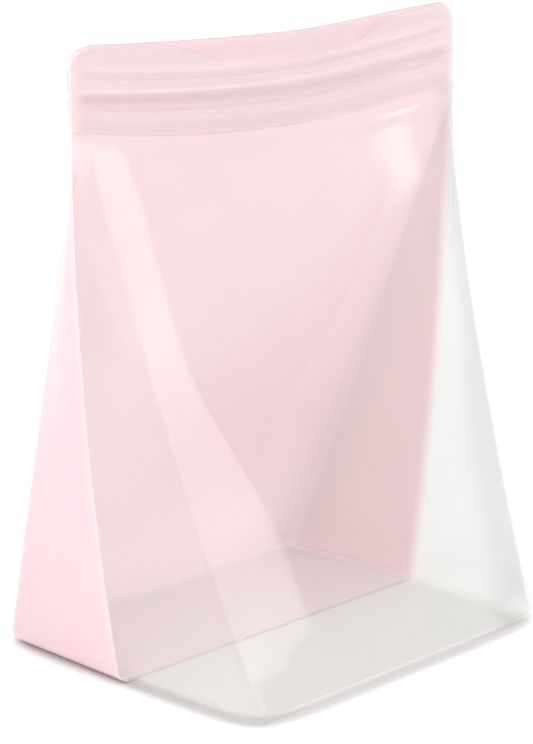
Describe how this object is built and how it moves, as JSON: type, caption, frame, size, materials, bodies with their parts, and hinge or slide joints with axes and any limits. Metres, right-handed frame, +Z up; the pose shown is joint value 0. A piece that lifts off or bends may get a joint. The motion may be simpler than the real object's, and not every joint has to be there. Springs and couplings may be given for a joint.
{
  "type": "reusable silicone bag",
  "caption": "Stand-up silicone food bag with a flat base, folded sides and a press-to-close zip mouth, clear front and pink back.",
  "frame": {"origin": "on the flat underside of the base, midway between front and back and between the two sides", "axes": "+X to the right along the mouth as seen from the front, +Y towards the pink back, +Z up"},
  "size_m": [0.18, 0.1166, 0.206],
  "materials": {
    "clear_silicone": "satin, frosted, translucent",
    "pink_silicone": "satin, milky translucent"
  },
  "bodies": {
    "base_and_sides": {"front_base_half": "clear_silicone", "back_base_half": "pink_silicone", "front_left_gusset": "clear_silicone", "front_right_gusset": "clear_silicone", "back_left_gusset": "pink_silicone", "back_right_gusset": "pink_silicone", "front_left_zip_end": "clear_silicone", "front_right_zip_end": "clear_silicone", "back_left_zip_end": "pink_silicone", "back_right_zip_end": "pink_silicone"},
    "front_wall": {"front_panel": "clear_silicone", "front_lower_zip_band": "clear_silicone", "front_upper_zip_band": "clear_silicone", "front_lip": "clear_silicone"},
    "back_wall": {"back_panel": "pink_silicone", "back_lower_zip_band": "pink_silicone", "back_upper_zip_band": "pink_silicone", "back_lip": "pink_silicone"}
  },
  "joints": [
    {"name": "front_wall_opens", "type": "hinge", "parent": "base_and_sides", "child": "front_wall", "pos_m": [0, -0.0577, 0.007], "axis": [1, 0, 0], "range_deg": [0, 8], "stiffness_Nm_per_rad": 0.02},
    {"name": "back_wall_opens", "type": "hinge", "parent": "base_and_sides", "child": "back_wall", "pos_m": [0, 0.0577, 0.007], "axis": [-1, 0, 0], "range_deg": [0, 8], "stiffness_Nm_per_rad": 0.02}
  ]
}
